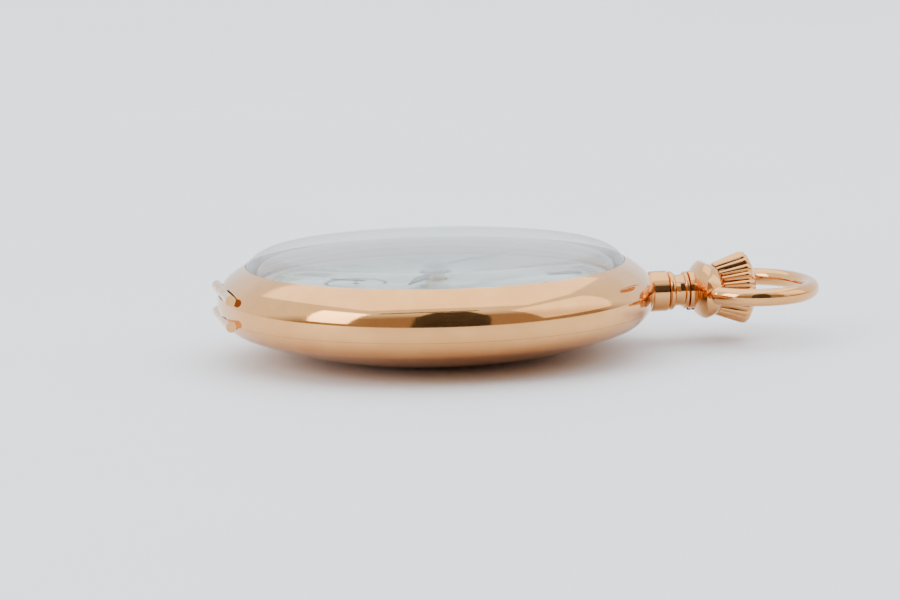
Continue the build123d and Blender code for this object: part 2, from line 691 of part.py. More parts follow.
def make_barrel_arbor():
    """Arbor that the ratchet wheel turns inside the barrel"""
    body = disc(1.0, 2.65, 5.35, BARREL_AT) + disc(0.7, 2.2, 6.55, BARREL_AT)
    return body - disc(0.35, 2, 3.8, BARREL_AT)


def make_ratchet_wheel():
    """Ratchet wheel on the barrel arbor"""
    face = gear_face(RATCHET_TEETH, WINDING_MODULE, heading(BARREL_AT, CROWN_WHEEL_AT))
    return raised(face - Circle(0.7), *UPPER_WHEELS, BARREL_AT)


def make_ratchet_screw():
    """Screw that holds the ratchet wheel"""
    return slotted_screw(BARREL_AT, 1.3, 0.35, (1.75, 2.15), 3.7)


def make_crown_wheel():
    """Crown wheel: flat teeth for the ratchet, face teeth for the winding pinion"""
    toward = heading(CROWN_WHEEL_AT, BARREL_AT) + 180 / CROWN_TEETH
    body = raised(gear_face(CROWN_TEETH, WINDING_MODULE, toward), *UPPER_WHEELS, CROWN_WHEEL_AT)
    body += ring(3.0, 2.3, UPPER_WHEELS[1], 4.1, CROWN_WHEEL_AT)
    for k in range(CROWN_TEETH):
        turn = 90 + 360 * (k + 0.5) / CROWN_TEETH
        tooth = Rot(0, 0, turn) * Pos(2.65, 0, 4.25) * Box(0.7, 0.2, 0.4)
        body += Pos(CROWN_WHEEL_AT[0], CROWN_WHEEL_AT[1], 0) * tooth
    return body - disc(CROWN_POST_R + RUN, 2, 5, CROWN_WHEEL_AT)


def make_crown_wheel_screw():
    """Screw that keeps the crown wheel on its post"""
    return slotted_screw(CROWN_WHEEL_AT, 1.4, 0.3, (1.78, 2.12), 3.8)


def make_winding_pinion():
    """Winding pinion that slides on the stem's square"""
    face = gear_face(WINDING_LEAVES, 0.175, 270, 0.4)
    middle = CROWN_WHEEL_AT[1] + 2.65
    wheel = Pos(0, middle + 0.3, STEM_Z) * Rot(90, 0, 0) * extrude(face, 0.6)
    hub = rod_y(1.0, middle + 0.3, middle + 1.5)
    return wheel + hub - block(-0.45, 0.45, 14, 18, STEM_Z - 0.45, STEM_Z + 0.45)


def click_beak():
    """The click's beak: a point just clear of the ratchet's teeth"""
    return polar(175, RATCHET_TEETH * WINDING_MODULE / 2 + 0.27, BARREL_AT)


def make_click():
    """The click that stops the ratchet wheel from turning back"""
    beak = click_beak()
    side = heading(CLICK_AT, beak) + 90
    points = [polar(side, 0.75, CLICK_AT), beak, polar(side + 180, 0.75, CLICK_AT)]
    face = make_face(Polyline(*points, close=True)) + Pos(*CLICK_AT) * Circle(0.95)
    return raised(face, UPPER_WHEELS[0] + 0.05, UPPER_WHEELS[1], (0, 0)) - disc(0.45 + RUN, 2, 3, CLICK_AT)


def make_click_spring():
    """The bent wire that presses the click against the ratchet wheel"""
    foot = polar(205, 3.6, CLICK_AT)
    quarter = Pos(CLICK_AT[0] - 1.2, CLICK_AT[1] - 0.4) * Rectangle(2.2, 2.6)
    face = Pos(*CLICK_AT) * (Circle(1.35) - Circle(1.1)) & quarter
    face += Pos(*foot) * Circle(0.6)
    joint = polar(205, 1.2, CLICK_AT)
    middle = Pos((foot[0] + joint[0]) / 2, (foot[1] + joint[1]) / 2) * Rot(0, 0, 205)
    face += middle * Rectangle(hypot(foot[0] - joint[0], foot[1] - joint[1]), 0.25)
    return raised(face, UPPER_WHEELS[0] + 0.1, BRIDGE[0]) - disc(0.3, 2, 3, foot)


def make_click_screw():
    """Screw of the click spring"""
    return slotted_screw(polar(205, 3.6, CLICK_AT), 0.6, 0.3, (1.95, 2.25), 2.7)


# ---- going train ----
def arbor(at, low, high, body_r=0.4):
    """A train arbor with a pivot at each end"""
    pivots = pivot(at, low - 0.45, low + 0.1) + pivot(at, high - 0.1, high + 0.4)
    return disc(body_r, low + 0.05, high - 0.05, at) + pivots


def make_centre_pinion():
    """Centre pinion cut on the arbor that carries the cannon pinion"""
    leaves = gear_face(CENTRE_LEAVES, BARREL_MODULE, heading((0, 0), BARREL_AT) + 180 / CENTRE_LEAVES, 0.4)
    body = raised(leaves, 4.6, 5.8) + disc(STEM_R, 3.95, 7.3) + disc(0.5, 7.3, 11.3)
    return body + pivot((0, 0), 3.35, 4.0)


def make_centre_wheel():
    """Centre wheel, one turn an hour"""
    face = gear_face(CENTRE_TEETH, CENTRE_MODULE, heading((0, 0), THIRD_AT))
    return raised(crossed(face, 5.6, 1.3, STEM_R), 4.15, 4.4)


def make_third_pinion():
    """Third pinion on its arbor"""
    leaves = gear_face(THIRD_LEAVES, CENTRE_MODULE, heading(THIRD_AT, (0, 0)) + 180 / THIRD_LEAVES, 0.4)
    return arbor(THIRD_AT, 3.9, 6.0) + raised(leaves, 4.05, 4.7, THIRD_AT)


def make_third_wheel():
    """Third wheel"""
    face = gear_face(THIRD_TEETH, THIRD_MODULE, heading(THIRD_AT, FOURTH_AT))
    return raised(crossed(face, 4.7, 1.1, 0.4), 5.4, 5.65, THIRD_AT)


def make_fourth_pinion():
    """Fourth pinion; its long pivot carries the seconds hand"""
    leaves = gear_face(FOURTH_LEAVES, THIRD_MODULE, heading(FOURTH_AT, THIRD_AT) + 180 / FOURTH_LEAVES, 0.4)
    return arbor(FOURTH_AT, 3.9, 6.0) + raised(leaves, 5.2, 5.8, FOURTH_AT) + pivot(FOURTH_AT, 6.0, 9.4)


def make_fourth_wheel():
    """Fourth wheel, one turn a minute"""
    face = gear_face(FOURTH_TEETH, FOURTH_MODULE, heading(FOURTH_AT, ESCAPE_AT))
    return raised(crossed(face, 4.2, 1.0, 0.4), 4.75, 5.0, FOURTH_AT)


def make_escape_pinion():
    """Escape pinion on its arbor"""
    turn = heading(ESCAPE_AT, FOURTH_AT) + 180 / ESCAPE_LEAVES
    leaves = gear_face(ESCAPE_LEAVES, FOURTH_MODULE, turn, 0.36)
    body = disc(0.3, 4.6, 5.9, ESCAPE_AT) + raised(leaves, 4.65, 5.1, ESCAPE_AT)
    return body + pivot(ESCAPE_AT, 4.15, 4.7) + pivot(ESCAPE_AT, 5.8, 6.4)


def make_escape_wheel():
    """Escape wheel with fifteen raked teeth"""
    first = heading(ESCAPE_AT, PALLET_AT) + 36
    points = []
    for k in range(ESCAPE_TEETH):
        turn = first + 360 * k / ESCAPE_TEETH
        points += [polar(turn - 1.0, ESCAPE_R), polar(turn + 1.0, ESCAPE_R)]
        points += [polar(turn + 9.0, 2.45), polar(turn + 19.0, 2.45)]
    face = crossed(make_face(Polyline(*points, close=True)), 2.05, 0.8, 0.3, 4, 0.35)
    return raised(face, 5.3, 5.5, ESCAPE_AT)


def stone_spots():
    """Direction from the escape wheel to each pallet stone"""
    line = heading(ESCAPE_AT, PALLET_AT)
    return (line - 30, line + 30)


def make_pallet_fork():
    """The lever: two arms for the stones and a fork towards the balance"""
    face = Pos(*PALLET_AT) * Circle(0.75)
    for turn in stone_spots():
        end = polar(turn, ESCAPE_R + 0.55, ESCAPE_AT)
        half_way = Pos((end[0] + PALLET_AT[0]) / 2, (end[1] + PALLET_AT[1]) / 2)
        middle = half_way * Rot(0, 0, heading(PALLET_AT, end))
        face += middle * Rectangle(hypot(end[0] - PALLET_AT[0], end[1] - PALLET_AT[1]) + 0.3, 0.6)
    away = heading(PALLET_AT, BALANCE_AT)
    lever = Rectangle(3.0, 0.5, align=(Align.MIN, Align.CENTER)) + Pos(2.85, 0) * Rectangle(0.6, 1.0)
    lever -= Pos(3.0, 0) * Rectangle(0.5, 0.42)
    face += Pos(*PALLET_AT) * Rot(0, 0, away) * lever
    body = raised(face, 5.02, 5.25) + disc(0.3, 4.6, 5.9, PALLET_AT)
    return body + pivot(PALLET_AT, 4.15, 4.7) + pivot(PALLET_AT, 5.8, 6.4)


def make_pallet_stones():
    """The two ruby pallets, held under the fork's arms"""
    stones = []
    for turn in stone_spots():
        stone = Pos(ESCAPE_R + 0.04 + 0.35, 0, 5.38) * Box(0.7, 0.25, 0.26)
        stones.append(Pos(*ESCAPE_AT, 0) * Rot(0, 0, turn) * stone)
    return Compound(children=stones)


def make_balance_wheel():
    """Balance wheel: a rim on two arms"""
    face = Circle(6.2) - Circle(5.5) + Rectangle(11.4, 0.7) + Circle(0.9) - Circle(0.35)
    return raised(face, 3.35, 3.85, BALANCE_AT)


def make_balance_screws():
    """The timing screws round the rim"""
    screws = []
    for k in range(14):
        screw = Pos(6.2 + 0.28, 0, 3.6) * Rot(0, 90, 0) * Cylinder(0.24, 0.56)
        screws.append(Pos(*BALANCE_AT, 0) * Rot(0, 0, 360 * (k + 0.5) / 14) * screw)
    return Compound(children=screws)


def make_balance_staff():
    """Balance staff with its collet seat"""
    body = disc(0.35, 2.95, 5.85, BALANCE_AT) + disc(0.55, 2.95, 3.3, BALANCE_AT)
    return body + pivot(BALANCE_AT, 2.4, 3.0) + pivot(BALANCE_AT, 5.8, 6.4)


def make_roller():
    """Roller with the impulse pin"""
    table = ring(1.6, 0.35, 4.45, 4.7, BALANCE_AT)
    return table + disc(0.15, 4.6, 5.2, polar(heading(BALANCE_AT, PALLET_AT), 1.3, BALANCE_AT))


def make_hairspring():
    """The flat balance spring, held at its outer end by the cock"""
    coil = spiral_band(0.85, 3.9, 9, 0.06, 2.98, 3.16, BALANCE_AT)
    stud = disc(0.2, 2.85, 3.2, polar(0, 3.9, BALANCE_AT))
    return coil + stud


def make_regulator():
    """Regulator lever on the cock"""
    away = heading(COCK_FOOT, BALANCE_AT)
    lever = Circle(1.35) + Rot(0, 0, away) * Pos(2.1, 0) * Rectangle(4.2, 0.45) - Circle(0.8)
    return raised(lever, 1.95, 2.25, BALANCE_AT)


NODES = {
    "mid_case": make_mid_case,
    "pendant": make_pendant,
    "pendant_tube": make_pendant_tube,
    "pendant_set_screw": make_pendant_set_screw,
    "bezel": make_bezel,
    "crystal": make_crystal,
    "back_cover": make_back_cover,
    "cuvette": make_cuvette,
    "bezel_hinge_pin": lambda: make_hinge_pin(BEZEL_SEAM),
    "back_hinge_pin": lambda: make_hinge_pin(BACK_SEAM),
    "bow": make_bow,
    "crown": make_crown,
    "winding_stem": make_winding_stem,
    "winding_pinion": make_winding_pinion,
    "dial": make_dial,
    "hour_hand": make_hour_hand,
    "minute_hand": make_minute_hand,
    "seconds_hand": make_seconds_hand,
    "cannon_pinion": make_cannon_pinion,
    "hour_wheel": make_hour_wheel,
    "minute_wheel": make_minute_wheel,
    "main_plate": make_main_plate,
    "barrel_bridge": make_barrel_bridge,
    "train_bridge": make_train_bridge,
    "escape_bridge": make_escape_bridge,
    "balance_cock": make_balance_cock,
    "train_jewels": make_train_jewels,
    "bridge_screws": make_bridge_screws,
    "case_screws": make_case_screws,
    "barrel": make_barrel,
    "barrel_lid": make_barrel_lid,
    "mainspring": make_mainspring,
    "barrel_arbor": make_barrel_arbor,
    "ratchet_wheel": make_ratchet_wheel,
    "ratchet_screw": make_ratchet_screw,
    "crown_wheel": make_crown_wheel,
    "crown_wheel_screw": make_crown_wheel_screw,
    "click": make_click,
    "click_spring": make_click_spring,
    "click_screw": make_click_screw,
    "centre_pinion": make_centre_pinion,
    "centre_wheel": make_centre_wheel,
    "third_pinion": make_third_pinion,
    "third_wheel": make_third_wheel,
    "fourth_pinion": make_fourth_pinion,
    "fourth_wheel": make_fourth_wheel,
    "escape_pinion": make_escape_pinion,
    "escape_wheel": make_escape_wheel,
    "pallet_fork": make_pallet_fork,
    "pallet_stones": make_pallet_stones,
    "balance_wheel": make_balance_wheel,
    "balance_screws": make_balance_screws,
    "balance_staff": make_balance_staff,
    "roller": make_roller,
    "hairspring": make_hairspring,
    "regulator": make_regulator,
}

os.makedirs("parts", exist_ok=True)
for name, make in NODES.items():
    shape = make()
    if isinstance(shape, ShapeList):
        shape = Compound(children=list(shape))
    export_step(shape, f"parts/{name}.step")
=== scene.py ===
import json
import math

import bmesh
import bpy
from mathutils import Matrix, Vector

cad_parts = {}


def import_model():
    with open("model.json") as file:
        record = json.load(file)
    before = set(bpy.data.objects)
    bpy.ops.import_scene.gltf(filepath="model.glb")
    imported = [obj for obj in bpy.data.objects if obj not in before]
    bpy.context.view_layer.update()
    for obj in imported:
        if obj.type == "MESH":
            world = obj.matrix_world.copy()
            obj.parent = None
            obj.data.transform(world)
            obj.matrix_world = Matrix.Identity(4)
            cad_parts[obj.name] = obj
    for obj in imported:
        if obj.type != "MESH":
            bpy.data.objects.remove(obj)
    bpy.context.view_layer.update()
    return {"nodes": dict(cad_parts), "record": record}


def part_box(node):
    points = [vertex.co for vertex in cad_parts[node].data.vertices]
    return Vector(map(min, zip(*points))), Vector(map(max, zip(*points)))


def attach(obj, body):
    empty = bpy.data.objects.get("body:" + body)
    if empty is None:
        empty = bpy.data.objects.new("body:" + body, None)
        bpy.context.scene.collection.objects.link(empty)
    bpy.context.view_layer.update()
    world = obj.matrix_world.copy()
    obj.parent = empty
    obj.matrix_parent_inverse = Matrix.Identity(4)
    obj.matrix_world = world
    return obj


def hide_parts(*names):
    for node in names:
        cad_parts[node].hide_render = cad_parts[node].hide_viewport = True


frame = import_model()
nodes = frame["nodes"]

MM = 0.001

# ---- places read from the frame, in millimetres ----
def low(node, axis):
    """Lowest reach of a CAD node along an axis, in millimetres"""
    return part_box(node)[0][axis] / MM


def high(node, axis):
    """Highest reach of a CAD node along an axis, in millimetres"""
    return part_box(node)[1][axis] / MM


CASE_R = high("mid_case", 0)
HINGE_Y = (low("bezel_hinge_pin", 1) + high("bezel_hinge_pin", 1)) / 2
GLASS_TOP = high("crystal", 2)
GLASS_R = high("crystal", 0)
DIAL_TOP = high("dial", 2)
SECONDS_Y = (low("fourth_wheel", 1) + high("fourth_wheel", 1)) / 2

# ---- the case's seams, walls and curves, as in the CAD model (r, z) ----
BEZEL_SEAM, BACK_SEAM = 8.4, 5.3
SEAM_GAP = 0.02
BACK_WALL = 0.45
EQUATOR_Z = 6.9
BACK_TURN, BACK_TURN_R = (CASE_R - 4.0, EQUATOR_Z), 4.0
TOP_TURN, TOP_TURN_R = (CASE_R - 3.6, EQUATOR_Z), 3.6
BACK_FLAT_R, BACK_DOME = 7.0, 44.2
GLASS_RIM = (22.6, 11.0)
GLASS_SHOULDER, GLASS_TURN = (19.66, 12.69), (19.27, 8.71)
GLASS_THICK = 1.25
GLASS_SEAT = 9.9
HINGE_HALF, KNUCKLE_R, GROOVE_R, PIN_R, WEB = 6.6, 0.62, 0.75, 0.3, 0.55
BEZEL_KNUCKLE, BACK_KNUCKLES, CUVETTE_KNUCKLE = 2.0, (1.3, 3.5), 1.2
KNUCKLE_GAP = 0.05
RUN = 0.03  # radial clearance of a turning fit
NOTCH_TURN, NOTCH_AT, NOTCH_RISE, NOTCH_SIZE = 53.0, 31.9, 0.62, (7, 11, 0.75)
STEM_Z, STEM_R, TUBE_R = 6.2, 0.5, 0.85
SEGMENTS = 288

# ---- dial markings, in millimetres ----
INK_THICK = 0.02
NUMERAL_R, NUMERAL_HEIGHT = 15.6, 3.9
THICK, THIN, SERIF = 0.34, 0.18, 0.16
TRACK = (18.6, 19.5)
SECONDS_TRACK, SECONDS_SUNK = (3.3, 3.7), 0.12


# ---- mesh helpers ----
def new_object(name, mesh, material, body, slot_name, *replaced):
    """A piece with its material, its body and the CAD nodes that it stands for"""
    piece = bpy.data.objects.new(name, mesh)
    bpy.context.scene.collection.objects.link(piece)
    mesh.materials.clear()
    mesh.materials.append(material)
    if replaced:
        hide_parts(*replaced)
    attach(piece, body)
    return piece


def arc_points(centre, start, end, count):
    """Points along the shorter arc about a centre, without its start"""
    a0 = math.atan2(start[1] - centre[1], start[0] - centre[0])
    a1 = math.atan2(end[1] - centre[1], end[0] - centre[0])
    r = math.hypot(start[0] - centre[0], start[1] - centre[1])
    turn = (a1 - a0 + math.pi) % (2 * math.pi) - math.pi
    steps = [a0 + turn * k / count for k in range(1, count + 1)]
    return [(centre[0] + r * math.cos(a), centre[1] + r * math.sin(a)) for a in steps]


def bend_points(start, control, end, count):
    """Points along a quadratic curve, without its start"""
    points = []
    for k in range(1, count + 1):
        t = k / count
        weights = ((1 - t) ** 2, 2 * t * (1 - t), t * t)
        axes = zip(start, control, end)
        points.append(tuple(sum(w * v for w, v in zip(weights, values)) for values in axes))
    return points


def on_turn(turn, r, z):
    """The outer point at height z of a curve of the case"""
    return (turn[0] + math.sqrt(r * r - (z - turn[1]) ** 2), z)


def skin(shape, rings):
    """Faces between each ring of vertices and the next, and from the last back to the first"""
    segments = max(len(ring) for ring in rings)
    for one, two in zip(rings, rings[1:] + rings[:1]):
        if len(one) == 1 and len(two) == 1:
            continue
        for k in range(segments):
            n = (k + 1) % segments
            corners = [one[k % len(one)], one[n % len(one)], two[n % len(two)], two[k % len(two)]]
            shape.faces.new(list(dict.fromkeys(corners)))
    bmesh.ops.recalc_face_normals(shape, faces=shape.faces)


def lathe(points, segments=SEGMENTS):
    """A closed (r, z) profile in millimetres turned about Z, as a bmesh"""
    shape = bmesh.new()
    rings = []
    for r, z in points:
        if r < 1e-6:
            rings.append([shape.verts.new((0, 0, z * MM))])
            continue
        angles = [2 * math.pi * k / segments for k in range(segments)]
        rings.append([shape.verts.new((r * MM * math.cos(a), r * MM * math.sin(a), z * MM)) for a in angles])
    skin(shape, rings)
    return shape


def to_mesh(shape, name):
    """A bmesh as a mesh"""
    mesh = bpy.data.meshes.new(name)
    shape.to_mesh(mesh)
    shape.free()
    return mesh


def smooth(mesh, angle=28):
    """Smooth shading with sharp edges kept"""
    shape = bmesh.new()
    shape.from_mesh(mesh)
    for face in shape.faces:
        face.smooth = True
    for edge in shape.edges:
        edge.smooth = len(edge.link_faces) != 2 or edge.calc_face_angle(0) < math.radians(angle)
    shape.to_mesh(mesh)
    shape.free()
    return mesh


def rod(r, start, end, segments=48):
    """A cylinder between two points in millimetres, as a bmesh"""
    start, end = Vector(start), Vector(end)
    shape = bmesh.new()
    size = {"radius1": r * MM, "radius2": r * MM, "depth": (end - start).length * MM}
    bmesh.ops.create_cone(shape, cap_ends=True, segments=segments, **size)
    turn = (end - start).to_track_quat("Z", "Y").to_matrix().to_4x4()
    bmesh.ops.transform(shape, matrix=Matrix.Translation((start + end) / 2 * MM) @ turn, verts=shape.verts)
    return shape


def slab(x0, x1, y0, y1, z0, z1):
    """A box in millimetres, as a bmesh"""
    shape = bmesh.new()
    bmesh.ops.create_cube(shape, size=1)
    size = Matrix.Diagonal(((x1 - x0) * MM, (y1 - y0) * MM, (z1 - z0) * MM, 1))
    centre = Vector(((x0 + x1) / 2, (y0 + y1) / 2, (z0 + z1) / 2)) * MM
    bmesh.ops.transform(shape, matrix=Matrix.Translation(centre) @ size, verts=shape.verts)
    return shape


def combine(mesh, shape, operation):
    """A mesh with a bmesh cut away from it or joined to it"""
    keep = bpy.data.objects.new("keep", mesh)
    other = bpy.data.objects.new("other", to_mesh(shape, "other"))
    for item in (keep, other):
        bpy.context.scene.collection.objects.link(item)
    modifier = keep.modifiers.new("combine", "BOOLEAN")
    modifier.operation, modifier.object, modifier.solver = operation, other, "EXACT"
    bpy.context.view_layer.update()
    evaluated = keep.evaluated_get(bpy.context.evaluated_depsgraph_get())
    result = bpy.data.meshes.new_from_object(evaluated)
    for item in (keep, other):
        bpy.data.objects.remove(item)
    return result


# ---- materials ----
def material(name):
    """A new material with its shader, tree and object coordinates"""
    mat = bpy.data.materials.new(name)
    mat.use_nodes = True
    tree = mat.node_tree
    shader = tree.nodes["Principled BSDF"]
    coords = tree.nodes.new("ShaderNodeTexCoord").outputs["Object"]
    return mat, tree, shader, coords


def noise(tree, coords, scale, detail=4.0, stretch=(1, 1, 1), turn=(0, 0, 0)):
    """A noise of so many cells a metre, stretched along an axis"""
    mapping = tree.nodes.new("ShaderNodeMapping")
    mapping.inputs["Scale"].default_value = stretch
    mapping.inputs["Rotation"].default_value = turn
    texture = tree.nodes.new("ShaderNodeTexNoise")
    texture.inputs["Scale"].default_value = scale
    texture.inputs["Detail"].default_value = detail
    tree.links.new(coords, mapping.inputs["Vector"])
    tree.links.new(mapping.outputs["Vector"], texture.inputs["Vector"])
    return texture.outputs["Fac"]


def spread(tree, value, low_out, high_out, low_in=0.3, high_in=0.7):
    """A value mapped from one range to another"""
    node = tree.nodes.new("ShaderNodeMapRange")
    limits = {"From Min": low_in, "From Max": high_in, "To Min": low_out, "To Max": high_out}
    for key, number in limits.items():
        node.inputs[key].default_value = number
    tree.links.new(value, node.inputs["Value"])
    return node.outputs["Result"]


def two_tone(tree, value, first, second):
    """A colour between two, chosen by a value"""
    ramp = tree.nodes.new("ShaderNodeValToRGB")
    ramp.color_ramp.elements[0].position, ramp.color_ramp.elements[1].position = 0.35, 0.65
    ramp.color_ramp.elements[0].color = (*first, 1)
    ramp.color_ramp.elements[1].color = (*second, 1)
    tree.links.new(value, ramp.inputs["Fac"])
    return ramp.outputs["Color"]


def bump(tree, shader, value, depth_mm, strength=1.0):
    """Surface relief from a value"""
    node = tree.nodes.new("ShaderNodeBump")
    node.inputs["Distance"].default_value = depth_mm * MM
    node.inputs["Strength"].default_value = strength
    tree.links.new(value, node.inputs["Height"])
    tree.links.new(node.outputs["Normal"], shader.inputs["Normal"])


def polished_metal(name, first, second, rough=(0.06, 0.16), relief=0.0004, grain=900):
    """Polished metal with hairline scratches, faint staining and handling marks"""
    mat, tree, shader, coords = material(name)
    shader.inputs["Metallic"].default_value = 1.0
    stains = noise(tree, coords, 220, 5)
    hairs = noise(tree, coords, grain, 6, (1, 9, 1), (0.3, 0.2, 0.6))
    tree.links.new(two_tone(tree, stains, first, second), shader.inputs["Base Color"])
    tree.links.new(spread(tree, hairs, *rough), shader.inputs["Roughness"])
    bump(tree, shader, hairs, relief)
    return mat


def frosted_metal(name, first, second, rough=(0.28, 0.42)):
    """Gilt with a fine frosted grain"""
    mat, tree, shader, coords = material(name)
    shader.inputs["Metallic"].default_value = 1.0
    grain = noise(tree, coords, 9000, 2)
    tree.links.new(two_tone(tree, noise(tree, coords, 300, 4), first, second), shader.inputs["Base Color"])
    tree.links.new(spread(tree, grain, *rough), shader.inputs["Roughness"])
    bump(tree, shader, grain, 0.004)
    return mat


def enamel():
    """White enamel with a faint orange-peel surface"""
    mat, tree, shader, coords = material("dial_enamel")
    tint = noise(tree, coords, 150, 3)
    tree.links.new(two_tone(tree, tint, (0.84, 0.83, 0.79), (0.88, 0.87, 0.84)), shader.inputs["Base Color"])
    shader.inputs["Coat Weight"].default_value = 0.6
    shader.inputs["Coat Roughness"].default_value = 0.04
    peel = noise(tree, coords, 900, 1)
    tree.links.new(spread(tree, peel, 0.16, 0.24), shader.inputs["Roughness"])
    bump(tree, shader, peel, 0.002)
    return mat


def glazing():
    """Clear glass that lets light through to the dial and mirrors more at low angles"""
    mat, tree, shader, coords = material("crystal_glass")
    tree.nodes.remove(shader)
    clear = tree.nodes.new("ShaderNodeBsdfTransparent")
    clear.inputs["Color"].default_value = (0.93, 0.96, 0.96, 1)
    gloss = tree.nodes.new("ShaderNodeBsdfGlossy")
    hairs = noise(tree, coords, 700, 5, (1, 7, 1), (0, 0, 0.7))
    tree.links.new(spread(tree, hairs, 0.005, 0.03, 0.45, 0.75), gloss.inputs["Roughness"])
    weight = tree.nodes.new("ShaderNodeLayerWeight")
    weight.inputs["Blend"].default_value = 0.5
    power = tree.nodes.new("ShaderNodeMath")
    power.operation = "POWER"
    power.inputs[1].default_value = 3.6
    tree.links.new(weight.outputs["Facing"], power.inputs[0])
    mix = tree.nodes.new("ShaderNodeMixShader")
    tree.links.new(spread(tree, power.outputs["Value"], 0.04, 1.0, 0.0, 1.0), mix.inputs["Fac"])
    tree.links.new(clear.outputs["BSDF"], mix.inputs[1])
    tree.links.new(gloss.outputs["BSDF"], mix.inputs[2])
    tree.links.new(mix.outputs["Shader"], tree.nodes["Material Output"].inputs["Surface"])
    return mat


def ink():
    """Fired black enamel of the numerals"""
    mat, tree, shader, coords = material("numeral_ink")
    tree.links.new(two_tone(tree, noise(tree, coords, 2500, 3), (0.012, 0.012, 0.016), (0.03, 0.03, 0.035)),
                   shader.inputs["Base Color"])
    tree.links.new(spread(tree, noise(tree, coords, 1500, 2), 0.25, 0.4), shader.inputs["Roughness"])
    return mat


def ruby():
    """Polished synthetic ruby"""
    mat, tree, shader, coords = material("ruby")
    tree.links.new(two_tone(tree, noise(tree, coords, 3000, 2), (0.5, 0.01, 0.08), (0.68, 0.03, 0.15)),
                   shader.inputs["Base Color"])
    tree.links.new(spread(tree, noise(tree, coords, 4000, 2), 0.05, 0.12), shader.inputs["Roughness"])
    shader.inputs["Coat Weight"].default_value = 0.5
    return mat


ROSE = polished_metal("case_gold", (0.70, 0.335, 0.115), (0.77, 0.39, 0.145), (0.05, 0.12))
INK = ink()
MATERIALS = {
    "case_gold": ROSE,
    "cuvette_gold": polished_metal("cuvette_gold", (0.80, 0.44, 0.17), (0.85, 0.50, 0.21), (0.1, 0.2)),
    "crystal_glass": glazing(),
    "dial_enamel": enamel(),
    "hand_steel": polished_metal("hand_steel", (0.02, 0.02, 0.03), (0.04, 0.04, 0.06), (0.15, 0.28)),
    "movement_gilt": frosted_metal("movement_gilt", (0.72, 0.52, 0.24), (0.8, 0.6, 0.3)),
    "steel": polished_metal("steel", (0.55, 0.56, 0.58), (0.63, 0.64, 0.66), (0.12, 0.25)),
    "blued_steel": polished_metal("blued_steel", (0.02, 0.05, 0.2), (0.04, 0.08, 0.32), (0.12, 0.22)),
    "ruby": ruby(),
}


# ---- case pieces turned at high resolution ----
def knuckled(mesh, z, own, cut, side, bore):
    """The mesh with its own hinge knuckles added and room cut for its neighbours'"""
    for x0, x1 in cut:
        mesh = combine(mesh, rod(GROOVE_R, (x0, HINGE_Y, z), (x1, HINGE_Y, z)), "DIFFERENCE")
    for x0, x1 in own:
        web_low, web_high = sorted((z, z + side * (KNUCKLE_R - SEAM_GAP)))
        mesh = combine(mesh, slab(x0, x1, HINGE_Y, HINGE_Y + WEB, web_low, web_high), "UNION")
        mesh = combine(mesh, rod(KNUCKLE_R, (x0, HINGE_Y, z), (x1, HINGE_Y, z)), "UNION")
        bored = rod(bore, (x0 - KNUCKLE_GAP, HINGE_Y, z), (x1 + KNUCKLE_GAP, HINGE_Y, z))
        mesh = combine(mesh, bored, "DIFFERENCE")
    return mesh


def pair(x0, x1):
    """A span along X and its mirror image"""
    return [(-x1, -x0), (x0, x1)]


def mid_case():
    """The middle ring with the fixed knuckles of both hinges"""
    start = on_turn(BACK_TURN, BACK_TURN_R, BACK_SEAM)
    top = on_turn(TOP_TURN, TOP_TURN_R, BEZEL_SEAM)
    equator = (CASE_R, EQUATOR_Z)
    points = [start]
    points += arc_points(BACK_TURN, start, equator, 10) + arc_points(TOP_TURN, equator, top, 10)
    points += [(22.2, BEZEL_SEAM), (22.2, 8.9), (21.45, 8.9), (21.45, 6.0), (20.4, 6.0), (20.4, 5.2)]
    points += [(22.7, 5.2), (22.7, 4.2), (24.0, 4.2), (24.75, BACK_SEAM)]
    mesh = to_mesh(lathe(points), "mid_case_turned")
    for z, reach, side in ((BEZEL_SEAM, BEZEL_KNUCKLE, -1), (BACK_SEAM, BACK_KNUCKLES[1], 1)):
        room = reach + KNUCKLE_GAP
        mesh = knuckled(mesh, z, pair(room + KNUCKLE_GAP, HINGE_HALF), [(-room, room)], side, PIN_R)
    arm_room = CUVETTE_KNUCKLE + 0.1
    mesh = combine(mesh, slab(-arm_room, arm_room, -25.6, -22.4, 4.1, BACK_SEAM + 0.1), "DIFFERENCE")
    mesh = combine(mesh, rod(TUBE_R, (0, 19, STEM_Z), (0, 27, STEM_Z)), "DIFFERENCE")
    return new_object("mid_case_turned", smooth(mesh), ROSE, "case", "case_gold", "mid_case")


def thumb_notch():
    """The leaf-shaped hollow beside the pendant that a thumbnail opens the bezel by"""
    shape = bmesh.new()
    bmesh.ops.create_uvsphere(shape, u_segments=96, v_segments=64, radius=1)
    size = Matrix.Diagonal((*(reach * MM for reach in NOTCH_SIZE), 1))
    place = Matrix.Translation((NOTCH_AT * MM, 0, (BEZEL_SEAM + NOTCH_RISE) * MM))
    turn = Matrix.Rotation(math.radians(NOTCH_TURN), 4, "Z")
    bmesh.ops.transform(shape, matrix=turn @ place @ size, verts=shape.verts)
    return shape


